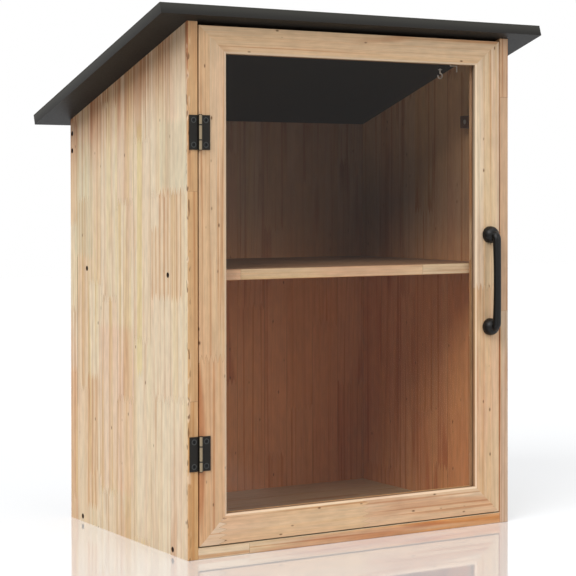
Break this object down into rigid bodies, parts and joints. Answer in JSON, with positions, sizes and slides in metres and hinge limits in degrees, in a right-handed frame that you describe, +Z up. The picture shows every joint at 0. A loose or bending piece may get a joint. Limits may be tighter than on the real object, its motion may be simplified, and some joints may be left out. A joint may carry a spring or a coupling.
{
  "type": "street book exchange box",
  "caption": "Pine book exchange box with a sloping black roof, a fixed shelf and a hinged door with a clear pane and a bow handle.",
  "frame": {"origin": "centre of the cabinet's footprint, on the surface it stands on", "axes": "+Z up; the door faces -Y and is hinged on the -X side; +Y towards the back"},
  "size_m": [0.521, 0.3522, 0.6068],
  "materials": {
    "pine": "planed, unvarnished",
    "beech_dowel": "plain",
    "black_paint": "matt black paint",
    "roofing_felt": "fine mineral surface",
    "dark_zinc": "dull plated",
    "bright_zinc": "bright plated",
    "black_steel": "satin black",
    "black_iron": "satin black powder coat",
    "brown_plastic": "moulded",
    "magnet": "sintered",
    "clear_acrylic": "clear, polished"
  },
  "bodies": {
    "cabinet": {"left_side_panel": "pine", "right_side_panel": "pine", "bottom_panel": "pine", "back_panel": "pine", "shelf": "pine", "roof_board": "black_paint", "roof_felt": "roofing_felt", "shelf_screws": "dark_zinc", "bottom_screws": "dark_zinc", "back_edge_screws": "dark_zinc", "back_screws": "dark_zinc", "roof_screws": "black_steel", "upper_hinge_frame_leaf": "black_steel", "lower_hinge_frame_leaf": "black_steel", "upper_hinge_pin": "black_steel", "lower_hinge_pin": "black_steel", "hinge_frame_screws": "black_steel", "cup_hook": "bright_zinc", "square_hook": "bright_zinc", "catch_case": "brown_plastic", "catch_magnet": "magnet", "catch_plates": "bright_zinc", "catch_screws": "bright_zinc"},
    "door": {"hinge_stile": "pine", "latch_stile": "pine", "door_top_rail": "pine", "door_bottom_rail": "pine", "corner_dowels": "beech_dowel", "door_pane": "clear_acrylic", "pane_bead_left": "pine", "pane_bead_right": "pine", "pane_bead_top": "pine", "pane_bead_bottom": "pine", "bead_pins": "bright_zinc", "upper_hinge_door_leaf": "black_steel", "lower_hinge_door_leaf": "black_steel", "hinge_door_screws": "black_steel", "door_handle": "black_iron", "handle_screws": "bright_zinc", "strike_plate": "bright_zinc", "strike_screws": "bright_zinc"}
  },
  "joints": [
    {"name": "door_swing", "type": "hinge", "parent": "cabinet", "child": "door", "pos_m": [-0.2064, -0.1572, 0.2922], "axis": [0, 0, -1], "range_deg": [0, 180]}
  ]
}
